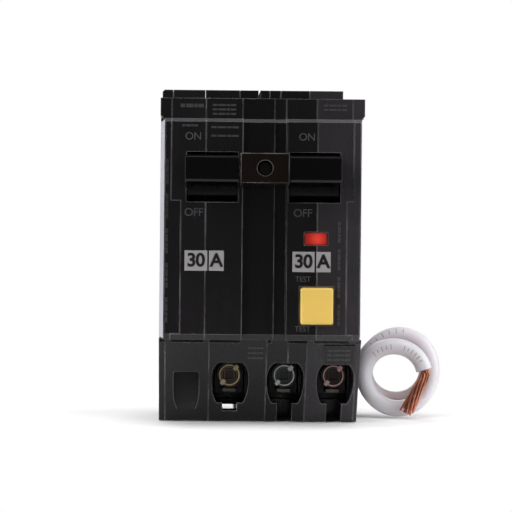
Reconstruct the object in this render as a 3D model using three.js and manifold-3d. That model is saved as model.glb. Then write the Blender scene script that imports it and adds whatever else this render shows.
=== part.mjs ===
// Two-pole ground-fault circuit breaker of the plug-on kind, in millimetres.
//
// The frame: +Z up towards the line end, +X right, +Y into the panel, so the breaker faces -Y.
// The origin is the middle of the rear face. "Depth" is a distance in front of that face: y = -depth.
// Outlines seen from the side are lists of [depth, z]; outlines seen from the front are Shapes in [x, z].

import * as THREE from "three";
import { mergeVertices } from "three/addons/utils/BufferGeometryUtils.js";
import Module from "manifold-3d";

const wasm = await Module();
wasm.setup();

// ---------------------------------------------------------------- driving dimensions

const WIDTH = 50.8; // two poles on a one-inch pitch
const HALF = WIDTH / 2;
const LINE_END = 43.2;
const LOAD_END = -42.9;
const SEAM = 0.05; // each shell stands this far back from its parting plane

// Depths of the front steps, and the heights where they change.
const JAW_BLOCK = 18.5;
const SHOULDER = 55;
const NOSE = 60;
const CENTRE_NOSE = 58.2;
const LOAD_TOP_DEPTH = 49.3;
const LOAD_EDGE_DEPTH = 34.8;
const SHOULDER_TOP = 38.5;
const NOSE_TOP = 33.2;
const NOSE_BOTTOM = -21.3;
const LOAD_TOP = NOSE_BOTTOM - 2 * SEAM;

// The side walls of the nose lean in towards the front.
const DRAFT_START = 46;
const DRAFT = 1.1;

// Parting planes between the shells, left to right, in the nose and in the load block.
const SEAMS = { cover: -22.5, left: -14, inner: -4.9, plate: 3, right: 5.9, pole: 13.5, end: 22.4 };
const LOAD_SEAMS = { cover: -23.8, left: -12.7, inner: 1.8, right: 7.2, pole: 11.9, end: 24.4 };
const FLANGE_SEAMS = { left: -20.1, right: 20.75, top: 13 }; // the covers' lower front flanges

const WALL = 1.6;
const THIN_WALL = 1;

// Handles and contacts. Heights and depths are of their pivots.
const POLES = { left: -12.4, right: 12.75 };
const HANDLE_PIVOT = { depth: 46, z: 18.8 };
const HANDLE_TILT = 3.5; // degrees towards ON in the tripped position
const DRUM_RADIUS = 12.6;
const DRUM_HALF_WIDTH = 6.1;
const SLOT_HALF_HEIGHT = 6.15;
const PADDLES = { left: [-19.1, -6.05], right: [6.2, 18.55] };
const TIE = [-5.75, 5.9];
const TIE_PIN_DEPTH = 21.5; // of the bar that joins the paddles, in front of the handle's pivot
const ARM_PIVOT = { depth: 37, z: 15.5 };
const ARM_OPENING = 10; // degrees open in the tripped position
const TRUNNIONS = { left: [-21.6, -5.5], right: [6.5, 21.5] }; // ends of each pole's cross shafts
const TRUNNION_RADIUS = 1.1;
const CRADLE_PIVOT = { depth: 40, z: 8 };
const CRADLE_DROP = 12; // degrees the cradle has fallen in the tripped position
const TRIP_BAR = { depth: 14, z: 8 };
const PLUNGER_DEPTH = 29;

// Load terminals.
const TERMINALS = { load_a: -7.3, neutral: 6.75, load_b: 19.4 };
const SCREW_Z = -31.15;
const SCREW_FACE = 34.9;
const BORE_Z = -32.8;
const BLANK_POCKET = { x: -18.4, z: -35.2, depth: 36.8 };

// Test button, indicator, sensor and pigtail.
const BUTTON = { x: 13.45, z: -12.7, half_width: 4, half_height: 4.5, depth: 62.4 };
const LEAF_FOOT = { depth: 48.6, z: -17.3 };
const LENS = { x: 13.2, z: 3.8, half_width: 2.8, half_height: 1.5 };
const TOROID = { depth: 20, z: -24.2, height: 5.5, inner: 4.9, outer: 9.4 };
const WIRE_RADIUS = 2.15;
const WIRE_EXIT = { depth: 8.5, z: -34 };

// The pigtail's coil: each turn is an oval, and the wire passes smoothly from one to the next.
const COIL = { first_angle: 190, turns: 2.49, rear: 7.8, pitch: 4.45 };
const OVALS = [
  { at: 0.8, x: 37.6, z: -30.5, across: 8.5, up: 8 },
  { at: 1.5, x: 38.05, z: -30.7, across: 8.8, up: 10.1 },
  { at: 2.3, x: 36.6, z: -32.1, across: 8, up: 8 },
];

const RIVETS = [
  { name: "rivet_line_rear", depth: 18.3, z: 35.2 },
  { name: "rivet_line_front", depth: 50, z: 35.8 },
  { name: "rivet_load_rear", depth: 6, z: -22 },
  { name: "rivet_load_front", depth: 43, z: -24 },
];
const RIVET_RADIUS = 1.2;
const RIVET_HEAD = { radius: 2.1, height: 0.7 };

// ---------------------------------------------------------------- geometry helpers

const X = new THREE.Vector3(1, 0, 0);
const Y = new THREE.Vector3(0, 1, 0);
const Z = new THREE.Vector3(0, 0, 1);
const SIDE_VIEW = new THREE.Matrix4().makeBasis(Y.clone().negate(), Z, X.clone().negate());
const FRONT_VIEW = new THREE.Matrix4().makeBasis(X, Z, Y.clone().negate());
const PLAN_VIEW = new THREE.Matrix4().makeBasis(X, Y.clone().negate(), Z.clone().negate());

const radians = THREE.MathUtils.degToRad;
const shapeOf = (points) => new THREE.Shape(points.map(([a, b]) => new THREE.Vector2(a, b)));

function extrude(shape, depth) {
  return new THREE.ExtrudeGeometry(shape, { depth, bevelEnabled: false, curveSegments: 6 });
}

// A side-view outline, from x0 to x1.
function slab(outline, x0, x1) {
  const shape = outline instanceof THREE.Shape ? outline : shapeOf(outline);
  return extrude(shape, x1 - x0).applyMatrix4(SIDE_VIEW).translate(x1, 0, 0);
}

// A front-view shape in [x, z], from depth d0 to d1.
function frontSlab(shape, d0, d1) {
  return extrude(shape, d1 - d0).translate(0, 0, d0).applyMatrix4(FRONT_VIEW);
}

// A plan-view shape in [x, depth], from z0 to z1.
function planSlab(shape, z0, z1) {
  return extrude(shape, z1 - z0).applyMatrix4(PLAN_VIEW).translate(0, 0, z1);
}

// A box from ranges of x, depth and z.
function block([x0, x1], [d0, d1], [z0, z1]) {
  return new THREE.BoxGeometry(x1 - x0, d1 - d0, z1 - z0)
    .translate((x0 + x1) / 2, -(d0 + d1) / 2, (z0 + z1) / 2);
}

// A round bar along x.
function crossBar(radius, [x0, x1], { depth, z }, sides = 12) {
  return new THREE.CylinderGeometry(radius, radius, x1 - x0, sides)
    .rotateZ(Math.PI / 2).translate((x0 + x1) / 2, -depth, z);
}

// A round bar along the depth.
function deepBar(radius, [d0, d1], { x, z }, sides = 16) {
  return new THREE.CylinderGeometry(radius, radius, d1 - d0, sides)
    .translate(x, -(d0 + d1) / 2, z);
}

// A round bar along z.
function uprightBar(radius, [z0, z1], { x, depth }, sides = 16) {
  return new THREE.CylinderGeometry(radius, radius, z1 - z0, sides)
    .rotateX(Math.PI / 2).translate(x, -depth, (z0 + z1) / 2);
}

// A round wire through points of [x, depth, z].
function wireThrough(points, radius, steps, sides = 8) {
  const path = new THREE.CatmullRomCurve3(points.map(([x, depth, z]) => new THREE.Vector3(x, -depth, z)));
  const section = new THREE.Shape().absarc(0, 0, radius, 0, 2 * Math.PI);
  return new THREE.ExtrudeGeometry(section, { steps, extrudePath: path, curveSegments: sides / 2 });
}

function toSolid(geometry) {
  const bare = geometry.clone();
  bare.deleteAttribute("normal");
  bare.deleteAttribute("uv");
  const merged = mergeVertices(bare, 1e-4);
  return new wasm.Manifold(new wasm.Mesh({
    numProp: 3,
    vertProperties: merged.attributes.position.array,
    triVerts: new Uint32Array(merged.index.array),
  }));
}

function toGeometry(solid) {
  const mesh = solid.getMesh();
  return new THREE.BufferGeometry()
    .setAttribute("position", new THREE.BufferAttribute(mesh.vertProperties, 3))
    .setIndex(new THREE.BufferAttribute(mesh.triVerts, 1));
}

const join = (...pieces) => toGeometry(pieces.map(toSolid).reduce((sum, piece) => sum.add(piece)));
const cut = (piece, ...tools) =>
  toGeometry(tools.map(toSolid).reduce((rest, tool) => rest.subtract(tool), toSolid(piece)));

// ---------------------------------------------------------------- materials

const finish = (color, roughness, metalness = 0) =>
  new THREE.MeshStandardMaterial({ color, roughness, metalness });

const MATERIALS = {
  case: finish(0x1f1d1e, 0.5),
  handle: finish(0x0d0c0d, 0.25),
  tie: finish(0x1c1411, 0.35),
  label: finish(0xd3cfda, 0.6),
  button: finish(0xddb963, 0.45),
  lens: finish(0xc8281e, 0.2),
  copper: finish(0xb96f4a, 0.35, 1),
  steel: finish(0x9a9a98, 0.35, 1),
  brass: finish(0xb39a5c, 0.35, 1),
  insulation: finish(0xd9d2d8, 0.5),
  lead: finish(0x2c2c30, 0.6),
  board: finish(0x1f5a36, 0.5),
  fibre: finish(0x8d7a5a, 0.8),
  ferrite: finish(0x3a3f45, 0.6),
};

function part(name, geometry, material) {
  const mesh = new THREE.Mesh(geometry, MATERIALS[material]);
  mesh.name = name;
  return mesh;
}

// ---------------------------------------------------------------- case shells

// The side view above the load block. The nose may stand at another depth.
function bodyOutline(nose) {
  const chamfer = 1.4;
  const lip = 0.8;
  return [
    [0, NOSE_BOTTOM],
    [nose - chamfer, NOSE_BOTTOM],
    [nose, NOSE_BOTTOM + chamfer],
    [nose, NOSE_TOP - lip],
    [nose - lip, NOSE_TOP],
    [SHOULDER, NOSE_TOP],
    [SHOULDER, SHOULDER_TOP],
    [JAW_BLOCK, SHOULDER_TOP],
    [JAW_BLOCK, LINE_END],
    [1.5, LINE_END],
    [0, LINE_END - 1.5],
  ];
}

// The load block slopes back to the load end; the slot behind its toe hooks over the panel's rail.
const RAIL_SLOT = { front: 8, rear: 4.5, top: -37 };
const LOAD_OUTLINE = [
  [0, LOAD_TOP],
  [LOAD_TOP_DEPTH, LOAD_TOP],
  [LOAD_EDGE_DEPTH, LOAD_END],
  [RAIL_SLOT.front, LOAD_END],
  [RAIL_SLOT.front, RAIL_SLOT.top],
  [RAIL_SLOT.rear, RAIL_SLOT.top],
  [RAIL_SLOT.rear, LOAD_END + 1.2],
  [1, LOAD_END + 1.2],
  [0, LOAD_END + 2.2],
];

// One shell: its body above, its load block below, and the neck that joins them.
function shell(body, load, nose = NOSE) {
  const [b0, b1] = [body[0] + SEAM, body[1] - SEAM];
  const upper = slab(bodyOutline(nose), b0, b1);
  if (!load) return upper;
  const [l0, l1] = [load[0] + SEAM, load[1] - SEAM];
  const neck_width = [Math.max(b0, l0), Math.min(b1, l1)];
  const neck = block(neck_width, [0, LOAD_TOP_DEPTH], [LOAD_TOP - 1, NOSE_BOTTOM + 1]);
  return join(upper, slab(LOAD_OUTLINE, l0, l1), neck);
}

// The mechanism's room, seen from the side.
function cavityOutline(nose) {
  const floor = -18;
  const roof = NOSE_TOP - 1.8;
  return [
    [2, floor],
    [nose - WALL, floor],
    [nose - WALL, roof],
    [45, roof],
    [45, SHOULDER_TOP - WALL],
    [JAW_BLOCK + WALL, SHOULDER_TOP - WALL],
    [JAW_BLOCK + WALL, 29],
    [2, 29],
  ];
}

const cavity = (x0, x1, nose = NOSE) => slab(cavityOutline(nose), x0, x1);

// The egg-shaped mouth over a terminal screw, around x = 0.
function eggShape(half_width = 4.7, half_height = 5.3, top = 2.9, bottom = 3.3) {
  const waist = 1;
  return new THREE.Shape()
    .moveTo(-top, half_height)
    .quadraticCurveTo(-half_width, half_height * 0.75, -half_width, waist)
    .quadraticCurveTo(-half_width, -half_height * 0.6, -bottom, -half_height)
    .lineTo(bottom, -half_height)
    .quadraticCurveTo(half_width, -half_height * 0.6, half_width, waist)
    .quadraticCurveTo(half_width, half_height * 0.75, top, half_height);
}

// Everything that one terminal removes from the load block.
function terminalRoom(x, entry_bottom = LOAD_END - 1) {
  return [
    block([x - 4.1, x + 4.1], [13.5, 31], [-38.4, -26]),
    frontSlab(eggShape(), 26, LOAD_TOP_DEPTH + 1).translate(x, 0, BORE_Z),
    block([x - 2.6, x + 2.6], [16.5, 24.3], [LOAD_END - 1, -38]),
    block([x - 1.9, x + 1.9], [20, LOAD_TOP_DEPTH], [entry_bottom, -38]),
  ];
}

// The stab slot that opens to the rear and to the line end, and the room for the jaw in it.
function jawRoom(x) {
  return [
    block([x - 4.2, x + 4.2], [1.6, 16.3], [25, 41.6]),
    block([x - 2.2, x + 2.2], [-1, 15.5], [29.5, LINE_END + 1]),
  ];
}

const handleSlot = (x) =>
  block([x - DRUM_HALF_WIDTH - 0.25, x + DRUM_HALF_WIDTH + 0.25], [NOSE - 3, NOSE + 1],
    [HANDLE_PIVOT.z - SLOT_HALF_HEIGHT, HANDLE_PIVOT.z + SLOT_HALF_HEIGHT]);

// Where the drum swings close to the side wall, the wall is thinner.
const drumRoom = (x) =>
  block([x - DRUM_HALF_WIDTH - 0.25, x], [HANDLE_PIVOT.depth - 1.2, NOSE - WALL],
    [HANDLE_PIVOT.z - DRUM_RADIUS - 0.5, NOSE_TOP - WALL]);

function windowFor({ x, z, half_width, half_height }, gap) {
  return block([x - half_width - gap, x + half_width + gap], [NOSE - 3, NOSE + 1],
    [z - half_height - gap, z + half_height + gap]);
}

const rivetHoles = () =>
  RIVETS.map((rivet) => crossBar(RIVET_RADIUS + 0.1, [-HALF - 1, HALF + 1], rivet));

// Room for the sensor ring, open to the cavity above, and the passages its leads run through.
const sensorRoom = () => [
  uprightBar(TOROID.outer + 0.6, [TOROID.z - 0.7, -17.4], { x: 0, depth: TOROID.depth }, 24),
  block([-7, 8], [15, 25], [-20, -9]),
  block([-9, 9], [14.5, 22.5], [-26.5, -24]),
  block([1, 16.5], [18, 22], [-27, -24]),
];

// The pigtail's way out behind the terminals, and the neutral lead's way down to it.
const pigtailRoom = () => [
  block([6, 25], [5.8, 12.6], [-38, -28]),
  block([7, 10], [8.8, 12.4], [-30, -15.5]),
  block([2.9, 8], [8.8, 14.5], [-18, -12.6]),
];

// Bearings that the shafts run in: the handle shaft, the arm and cradle trunnions and the trip bar.
const bearings = () => [
  crossBar(1.3, [-21.8, 21.7], HANDLE_PIVOT),
  crossBar(1.8, [-21.8, 21.7], TRIP_BAR),
  ...Object.values(TRUNNIONS).flatMap(([x0, x1]) =>
    [ARM_PIVOT, CRADLE_PIVOT].map((pivot) => crossBar(TRUNNION_RADIUS + 0.1, [x0 - 0.2, x1 + 0.2], pivot))),
];

// What the mould leaves out of the outer covers: the drafted nose side and the label's recess.
function coverTrims(side) {
  const recess = 0.3;
  const outside = HALF + 1;
  const draft = shapeOf([
    [side * outside, 12],
    [side * (HALF - recess), 12],
    [side * (HALF - recess), DRAFT_START],
    [side * (HALF - recess - DRAFT), NOSE + 0.01],
    [side * outside, NOSE + 0.01],
  ]);
  const corner = shapeOf([
    [side * (HALF - DRAFT), NOSE_TOP - 0.01],
    [side * HALF, NOSE_TOP + 1.1],
    [side * outside, NOSE_TOP + 1.1],
    [side * outside, NOSE_TOP - 0.01],
  ]);
  const tab = side < 0 ? [HALF - 0.6, LINE_END - 0.6] : [SEAMS.end, SHOULDER_TOP];
  const above = shapeOf([
    [side * tab[0], LINE_END + 1],
    [side * tab[0], side < 0 ? LINE_END : tab[1]],
    [side * HALF, tab[1]],
    [side * outside, tab[1]],
    [side * outside, LINE_END + 1],
  ]);
  return [
    planSlab(draft, NOSE_BOTTOM - SEAM, NOSE_TOP),
    frontSlab(corner, DRAFT_START, SHOULDER + 1),
    frontSlab(above, -1, JAW_BLOCK + 1),
  ];
}

const headRecesses = (side) =>
  RIVETS.map((rivet) => {
    const ends = [side * HALF - side * (RIVET_HEAD.height + 0.1), side * (HALF + 1)].sort((a, b) => a - b);
    return crossBar(RIVET_HEAD.radius + 0.1, ends, rivet);
  });

// The lower front flange of a cover, which laps over the pole case beside it.
function flange(x0, x1) {
  return block([x0, x1], [NOSE - 3.4, NOSE], [NOSE_BOTTOM + 1.5, FLANGE_SEAMS.top - SEAM]);
}

function caseShells() {
  const shells = {};
  shells.left_cover = cut(
    join(shell([-HALF, SEAMS.cover], [-HALF, LOAD_SEAMS.cover]), flange(-HALF, FLANGE_SEAMS.left - SEAM)),
    ...coverTrims(-1), ...headRecesses(-1), ...rivetHoles());
  shells.left_pole_case = cut(
    shell([SEAMS.cover, SEAMS.left], [LOAD_SEAMS.cover, LOAD_SEAMS.left]),
    flange(-HALF, FLANGE_SEAMS.left + SEAM).scale(1, 1, 1.004),
    cavity(-21, 0), ...jawRoom(POLES.left), handleSlot(POLES.left), ...bearings(), ...rivetHoles(),
    frontSlab(eggShape(3.3, 5.2, 3.2, 2), BLANK_POCKET.depth, LOAD_TOP_DEPTH)
      .translate(BLANK_POCKET.x, 0, BLANK_POCKET.z));
  shells.left_inner_case = cut(
    shell([SEAMS.left, SEAMS.inner], [LOAD_SEAMS.left, LOAD_SEAMS.inner]),
    cavity(-15, SEAMS.inner - THIN_WALL), ...jawRoom(POLES.left), handleSlot(POLES.left),
    ...terminalRoom(TERMINALS.load_a, -40.2), ...sensorRoom(), ...bearings(), ...rivetHoles(),
    block([TERMINALS.load_a - 1.5, TERMINALS.load_a + 1.6], [-1, 28], [LOAD_END - 1, -39.85]));
  shells.centre_case = cut(
    shell([SEAMS.inner, SEAMS.plate], [LOAD_SEAMS.inner, LOAD_SEAMS.right], CENTRE_NOSE),
    cavity(SEAMS.inner + THIN_WALL, SEAMS.plate + 1, CENTRE_NOSE), ...terminalRoom(TERMINALS.neutral),
    ...sensorRoom(), ...bearings(), ...rivetHoles(), ...pigtailRoom(),
    block([0, 0.5], [-1, JAW_BLOCK + 1], [SHOULDER_TOP, LINE_END + 1]));
  shells.centre_plate = cut(
    shell([SEAMS.plate, SEAMS.right], null, CENTRE_NOSE - 1),
    ...sensorRoom(), ...bearings(), ...rivetHoles(), ...pigtailRoom());
  shells.right_inner_case = cut(
    shell([SEAMS.right, SEAMS.pole], [LOAD_SEAMS.right, LOAD_SEAMS.pole]),
    cavity(SEAMS.right + THIN_WALL, 15), drumRoom(POLES.right),
    ...jawRoom(POLES.right), handleSlot(POLES.right),
    windowFor(BUTTON, 0.25), windowFor(LENS, 0.1), ...terminalRoom(TERMINALS.neutral),
    ...sensorRoom(), ...bearings(), ...rivetHoles(), ...pigtailRoom());
  shells.right_pole_case = cut(
    shell([SEAMS.pole, SEAMS.end], [LOAD_SEAMS.pole, LOAD_SEAMS.end]),
    flange(FLANGE_SEAMS.right - SEAM, HALF).scale(1, 1, 1.004),
    cavity(12, 20.9), ...jawRoom(POLES.right), handleSlot(POLES.right), windowFor(BUTTON, 0.25),
    windowFor(LENS, 0.1), ...terminalRoom(TERMINALS.load_b), ...sensorRoom(), ...bearings(),
    ...rivetHoles(), ...pigtailRoom());
  shells.right_cover = cut(
    join(shell([SEAMS.end, HALF], [LOAD_SEAMS.end, HALF]), flange(FLANGE_SEAMS.right + SEAM, HALF)),
    ...coverTrims(1), ...headRecesses(1), ...rivetHoles(),
    crossBar(WIRE_RADIUS + 0.5, [22, HALF + 1], WIRE_EXIT, 20));
  return Object.entries(shells).map(([name, geometry]) => part(name, geometry, "case"));
}

// A printed sheet on a cover's side that bends with the drafted nose.
function sideLabel(name, side) {
  const [gap, sheet] = [0.06, 0.2];
  const flat = HALF - 0.3 + gap;
  const front = NOSE - 0.5;
  const lean = DRAFT * (front - DRAFT_START) / (NOSE - DRAFT_START);
  const bent = shapeOf([
    [side * flat, 12.6],
    [side * (flat + sheet), 12.6],
    [side * (flat + sheet), DRAFT_START],
    [side * (flat + sheet - lean), front],
    [side * (flat - lean), front],
    [side * flat, DRAFT_START],
  ]);
  return part(name, planSlab(bent, NOSE_BOTTOM + 0.4, NOSE_TOP - 0.4), "label");
}

function rivet({ name, depth, z }) {
  const head = RIVET_HEAD.height;
  const shank = crossBar(RIVET_RADIUS, [-HALF + 0.05, HALF - 0.05], { depth, z });
  const heads = [-1, 1].map((side) => {
    const ends = [side * (HALF - head), side * (HALF - 0.05)].sort((a, b) => a - b);
    return crossBar(RIVET_HEAD.radius, ends, { depth, z });
  });
  return part(name, join(shank, ...heads), "steel");
}

// ---------------------------------------------------------------- handles

// A handle around its pivot: hub, drum that fills the slot, neck, and tapered paddle
// with a socket for the tie.
function handleGeometry(centre, [x0, x1], socket) {
  const sweep = radians(48);
  const drum = new THREE.Shape()
    .moveTo(0, -3)
    .lineTo(DRUM_RADIUS * Math.cos(sweep), -DRUM_RADIUS * Math.sin(sweep))
    .absarc(0, 0, DRUM_RADIUS, -sweep, sweep)
    .lineTo(0, 3);
  const base = 15.6;
  const face = 27;
  const paddle = [
    [base, -3.6], [face - 0.6, -3.2], [face, -2.7],
    [face, 2.7], [face - 0.6, 3.2], [base, 3.6]];
  const drum_ends = [centre - DRUM_HALF_WIDTH, centre + DRUM_HALF_WIDTH];
  const hub_ends = [centre - 5.4, centre + 5.4];
  const pivot = { depth: 0, z: 0 };
  return cut(
    join(slab(drum, ...drum_ends), crossBar(3.2, hub_ends, pivot, 20),
      block(drum_ends, [11, base + 1], [-2.2, 2.2]), slab(paddle, x0, x1)),
    crossBar(1.25, [centre - 7, centre + 7], pivot),
    crossBar(1.3, socket, { depth: TIE_PIN_DEPTH, z: 0 }));
}

function handles() {
  const group = new THREE.Group();
  group.position.set(0, -HANDLE_PIVOT.depth, HANDLE_PIVOT.z);
  group.rotation.x = -radians(HANDLE_TILT);
  const [tie_left, tie_right] = TIE;
  const pin_reach = 2.3;
  const socket_reach = 2.6;
  const left = handleGeometry(POLES.left, PADDLES.left, [tie_left - socket_reach, tie_left]);
  const right = handleGeometry(POLES.right, PADDLES.right, [tie_right, tie_right + socket_reach]);
  const middle = { x: (tie_left + tie_right) / 2, z: 0 };
  const bar = crossBar(1.2, [tie_left - pin_reach, tie_right + pin_reach], { depth: TIE_PIN_DEPTH, z: 0 });
  const tie = cut(join(block(TIE, [16, 28.2], [-3.6, 3.6]), bar), deepBar(1.85, [23.4, 29], middle, 20));
  group.add(
    part("handle_left", left, "handle"),
    part("handle_right", right, "handle"),
    part("handle_tie", tie, "tie"),
    part("tie_pin", deepBar(1.6, [23.6, 27.4], middle, 20), "handle"));
  return group;
}

const handleShaft = () => part("handle_shaft", crossBar(1.15, [-21.6, 21.5], HANDLE_PIVOT), "steel");

// ---------------------------------------------------------------- one pole's mechanism
// Everything here is around the pole's own centre plane; "out" is +1 or -1, away from the breaker's middle,
// and "ends" is where the pole's cross shafts end.

// The blade that carries the moving contact, drawn closed around its pivot.
function contactArm(ends) {
  const blade = [
    [1.5, -2], [-13, 5.9], [-16, 7.7], [-22.5, 7.7], [-22.5, 9.5], [-15.4, 9.5], [-12.2, 8], [2.2, 0.6],
  ];
  const pad = uprightBar(2.2, [9.4, 10.7], { x: 0, depth: -19.5 }, 12);
  const pivot = { depth: 0, z: 0 };
  return join(slab(blade, -2.2, 2.2), pad,
    crossBar(2.6, [-2.2, 2.2], pivot), crossBar(TRUNNION_RADIUS, ends, pivot));
}

// The trip lever, drawn latched around its pivot.
function cradle(out, ends) {
  const lever = [
    [1.5, 1.8], [-1.5, 2], [-12.2, -13.5], [-11.8, -16], [-9.5, -16], [-9, -13.8], [2, -2.5],
  ];
  const plate = [out * 3, out * 4.4].sort((a, b) => a - b);
  return join(slab(lever, ...plate), crossBar(TRUNNION_RADIUS, ends, { depth: 0, z: 0 }));
}

// The overcentre spring, a coil between [depth, z] points on the inner side.
function toggleSpring(out) {
  const [start, end] = [[-7, 3.9], [-2.5, -12]];
  const turns = 6;
  const helix = new THREE.Curve();
  helix.getPoint = (t) => {
    const angle = 2 * Math.PI * turns * t;
    const depth = THREE.MathUtils.lerp(start[0], end[0], t) + 0.8 * Math.sin(angle) * 0.68;
    const z = THREE.MathUtils.lerp(start[1], end[1], t) + 0.8 * Math.sin(angle) * 0.73;
    return new THREE.Vector3(-out * 3.9 + 0.8 * Math.cos(angle), -depth, z);
  };
  const wire = new THREE.Shape().absarc(0, 0, 0.3, 0, 2 * Math.PI);
  return new THREE.ExtrudeGeometry(wire, { steps: turns * 9, extrudePath: helix, curveSegments: 3 });
}

// The plug-on jaw, with the strap that carries the fixed contact.
function lineJaw() {
  return join(
    block([-2.6, -1.4], [2.4, 13], [31, 41]),
    block([1.4, 2.6], [2.4, 13], [31, 41]),
    block([-2.6, 2.6], [12.5, 14.4], [27.5, 41]),
    block([-2.6, 2.6], [12.5, 20], [27.5, 28.8]),
    uprightBar(2.2, [26.35, 27.6], { x: 0, depth: 17.5 }, 12));
}

// Steel plates in a fibre comb, behind the path of the contact.
function arcChute() {
  const plateAt = (z) => block([-4.4, 4.4], [3.4, 12], [z, z + 0.9]);
  const plates = [0, 1, 2, 3, 4, 5].map((i) => plateAt(9.4 + 2.6 * i));
  return join(block([-4.6, 4.6], [2.6, 3.8], [8.8, 24.6]), ...plates);
}

const bimetal = () => join(
  block([-3, 3], [21.6, 22.4], [-16.6, 3.4]), block([-3, 3], [16.2, 22.4], [-17.4, -16.4]));

const magnetYoke = () => join(
  block([-4.6, 4.6], [19.4, 20.6], [-9, 1]),
  block([-4.6, -3.5], [20, 25.2], [-9, 1]),
  block([3.5, 4.6], [20, 25.2], [-9, 1]));

// The armature, around the knife edge it hangs from, with the window that holds the latch.
const armature = () => cut(
  block([-4.4, 4.4], [-0.6, 0.6], [-14, 0]), block([-2, 2], [-1, 1], [-12, -8]));

// The flexible braid from the arm to the bimetal.
const braid = () => slab([
  [24, 4.6], [27.5, 4.8], [30.5, 7.6], [33.6, 8.6], [34, 10.2], [30.2, 9.3], [27, 6.4], [23.6, 6],
], -1.5, 1.5);

function poleMechanism(suffix, out) {
  const centre = POLES[suffix];
  const ends = TRUNNIONS[suffix].map((x) => x - centre);
  const pole = new THREE.Group();
  pole.position.x = centre;
  const arm = part("contact_arm_" + suffix, contactArm(ends), "copper");
  const spring = part("toggle_spring_" + suffix, toggleSpring(out), "steel");
  const blade = new THREE.Group();
  blade.position.set(0, -ARM_PIVOT.depth, ARM_PIVOT.z);
  blade.rotation.x = -radians(ARM_OPENING);
  blade.add(arm, spring);
  const lever = part("cradle_" + suffix, cradle(out, ends), "steel");
  lever.position.set(0, -CRADLE_PIVOT.depth, CRADLE_PIVOT.z);
  lever.rotation.x = -radians(CRADLE_DROP);
  const plate = part("armature_" + suffix, armature(), "steel");
  plate.position.set(0, -27, 4);
  pole.add(blade, lever, plate,
    part("line_jaw_" + suffix, lineJaw(), "copper"),
    part("arc_chute_" + suffix, arcChute(), "fibre"),
    part("bimetal_" + suffix, bimetal(), "brass"),
    part("magnet_yoke_" + suffix, magnetYoke(), "steel"),
    part("braid_" + suffix, braid(), "copper"));
  return pole;
}

// ---------------------------------------------------------------- load terminals

// A box lug that the wire enters from below, with a lip in front of it under the screw head.
function terminalLug() {
  const [front, lip_front] = [25.6, 30.5];
  return cut(
    join(
      block([-3.8, 3.8], [14.5, front], [-5.2, 4.3]),
      block([-1.75, 1.75], [front - 1, lip_front], [-4.6, -3.6])),
    block([-2.5, 2.5], [16.5, 24.3], [-7, 6]),
    deepBar(2.05, [23, 28], { x: 0, z: 0 }));
}

// A combination screw: slotted head with a rimmed recess and a square socket.
function terminalScrew() {
  const face = SCREW_FACE;
  const head = 2.5;
  const centre = { x: 0, z: 0 };
  const slot = block([-4, 4], [face - 1.2, face + 1], [-0.65, 0.65]).rotateY(-radians(48));
  return cut(
    join(deepBar(3.3, [face - head, face], centre, 24), deepBar(1.9, [24, face - 2], centre)),
    deepBar(2.45, [face - 0.5, face + 1], centre, 20),
    slot,
    block([-1, 1], [face - 2, face + 1], [-1, 1]));
}

function terminal(name, x, screw_material) {
  const group = new THREE.Group();
  group.position.set(x, 0, SCREW_Z);
  group.add(
    part("lug_" + name, terminalLug(), "steel"),
    part("clamp_plate_" + name, block([-2.3, 2.3], [22.6, 23.9], [-3.8, 3.7]), "steel"),
    part("terminal_screw_" + name, terminalScrew(), screw_material));
  return group;
}

// ---------------------------------------------------------------- ground-fault module

function circuitBoard() {
  const outline = [
    [6, -16.5], [15, -16.5], [15, -11], [25, -11], [25, -16.5],
    [54, -16.5], [54, 12], [42, 12], [42, -2], [6, -2],
  ];
  const board = slab(outline, -3.4, -2);
  return join(board,
    block([-2.2, 0.6], [30, 38], [-13, -6]),
    block([-2.2, 1.2], [8, 13], [-15, -9]),
    crossBar(3.4, [-2.2, 2.2], { depth: 48.5, z: -10 }, 16),
    crossBar(2, [-2.2, 2.4], { depth: 48, z: 2 }, 12),
    block([-2.2, 0], [44, 52], [7, 10]));
}

function sensorToroid() {
  const { inner, outer, height } = TOROID;
  const ring = [[inner, 0], [outer, 0], [outer, height], [inner, height], [inner, 0]];
  return new THREE.LatheGeometry(ring.map(([r, h]) => new THREE.Vector2(r, h)), 28)
    .rotateX(Math.PI / 2);
}

// Rod with fingers over the bimetals and a lever under the plunger.
function tripBar() {
  const finger = [[0, -1.2], [10, -3.6], [10.6, -2.6], [0, 1.2]];
  const fingerAt = (x0, x1) => slab(finger, x0, x1);
  return join(
    crossBar(1.5, [-19.5, 19.5], { depth: 0, z: 0 }),
    fingerAt(POLES.left + 2, POLES.left + 3.2),
    fingerAt(POLES.right - 3.2, POLES.right - 2),
    block([-1.2, 0.4], [0, PLUNGER_DEPTH - TRIP_BAR.depth + 1], [-0.8, 0.8]));
}

function faultModule() {
  const group = new THREE.Group();
  const toroid = part("sensor_toroid", sensorToroid(), "ferrite");
  toroid.position.set(0, -TOROID.depth, TOROID.z);
  const bar = part("trip_bar", tripBar(), "lead");
  bar.position.set(0, -TRIP_BAR.depth, TRIP_BAR.z);
  const core = { x: -0.4, depth: PLUNGER_DEPTH };
  const coil = cut(uprightBar(3, [13, 26], core, 20), uprightBar(1.45, [12, 24], core, 12));
  group.add(toroid, bar,
    part("circuit_board", circuitBoard(), "board"),
    part("trip_solenoid", coil, "copper"),
    part("solenoid_plunger", uprightBar(1.25, [9.2, 20], core, 12), "steel"));
  return group;
}

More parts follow.
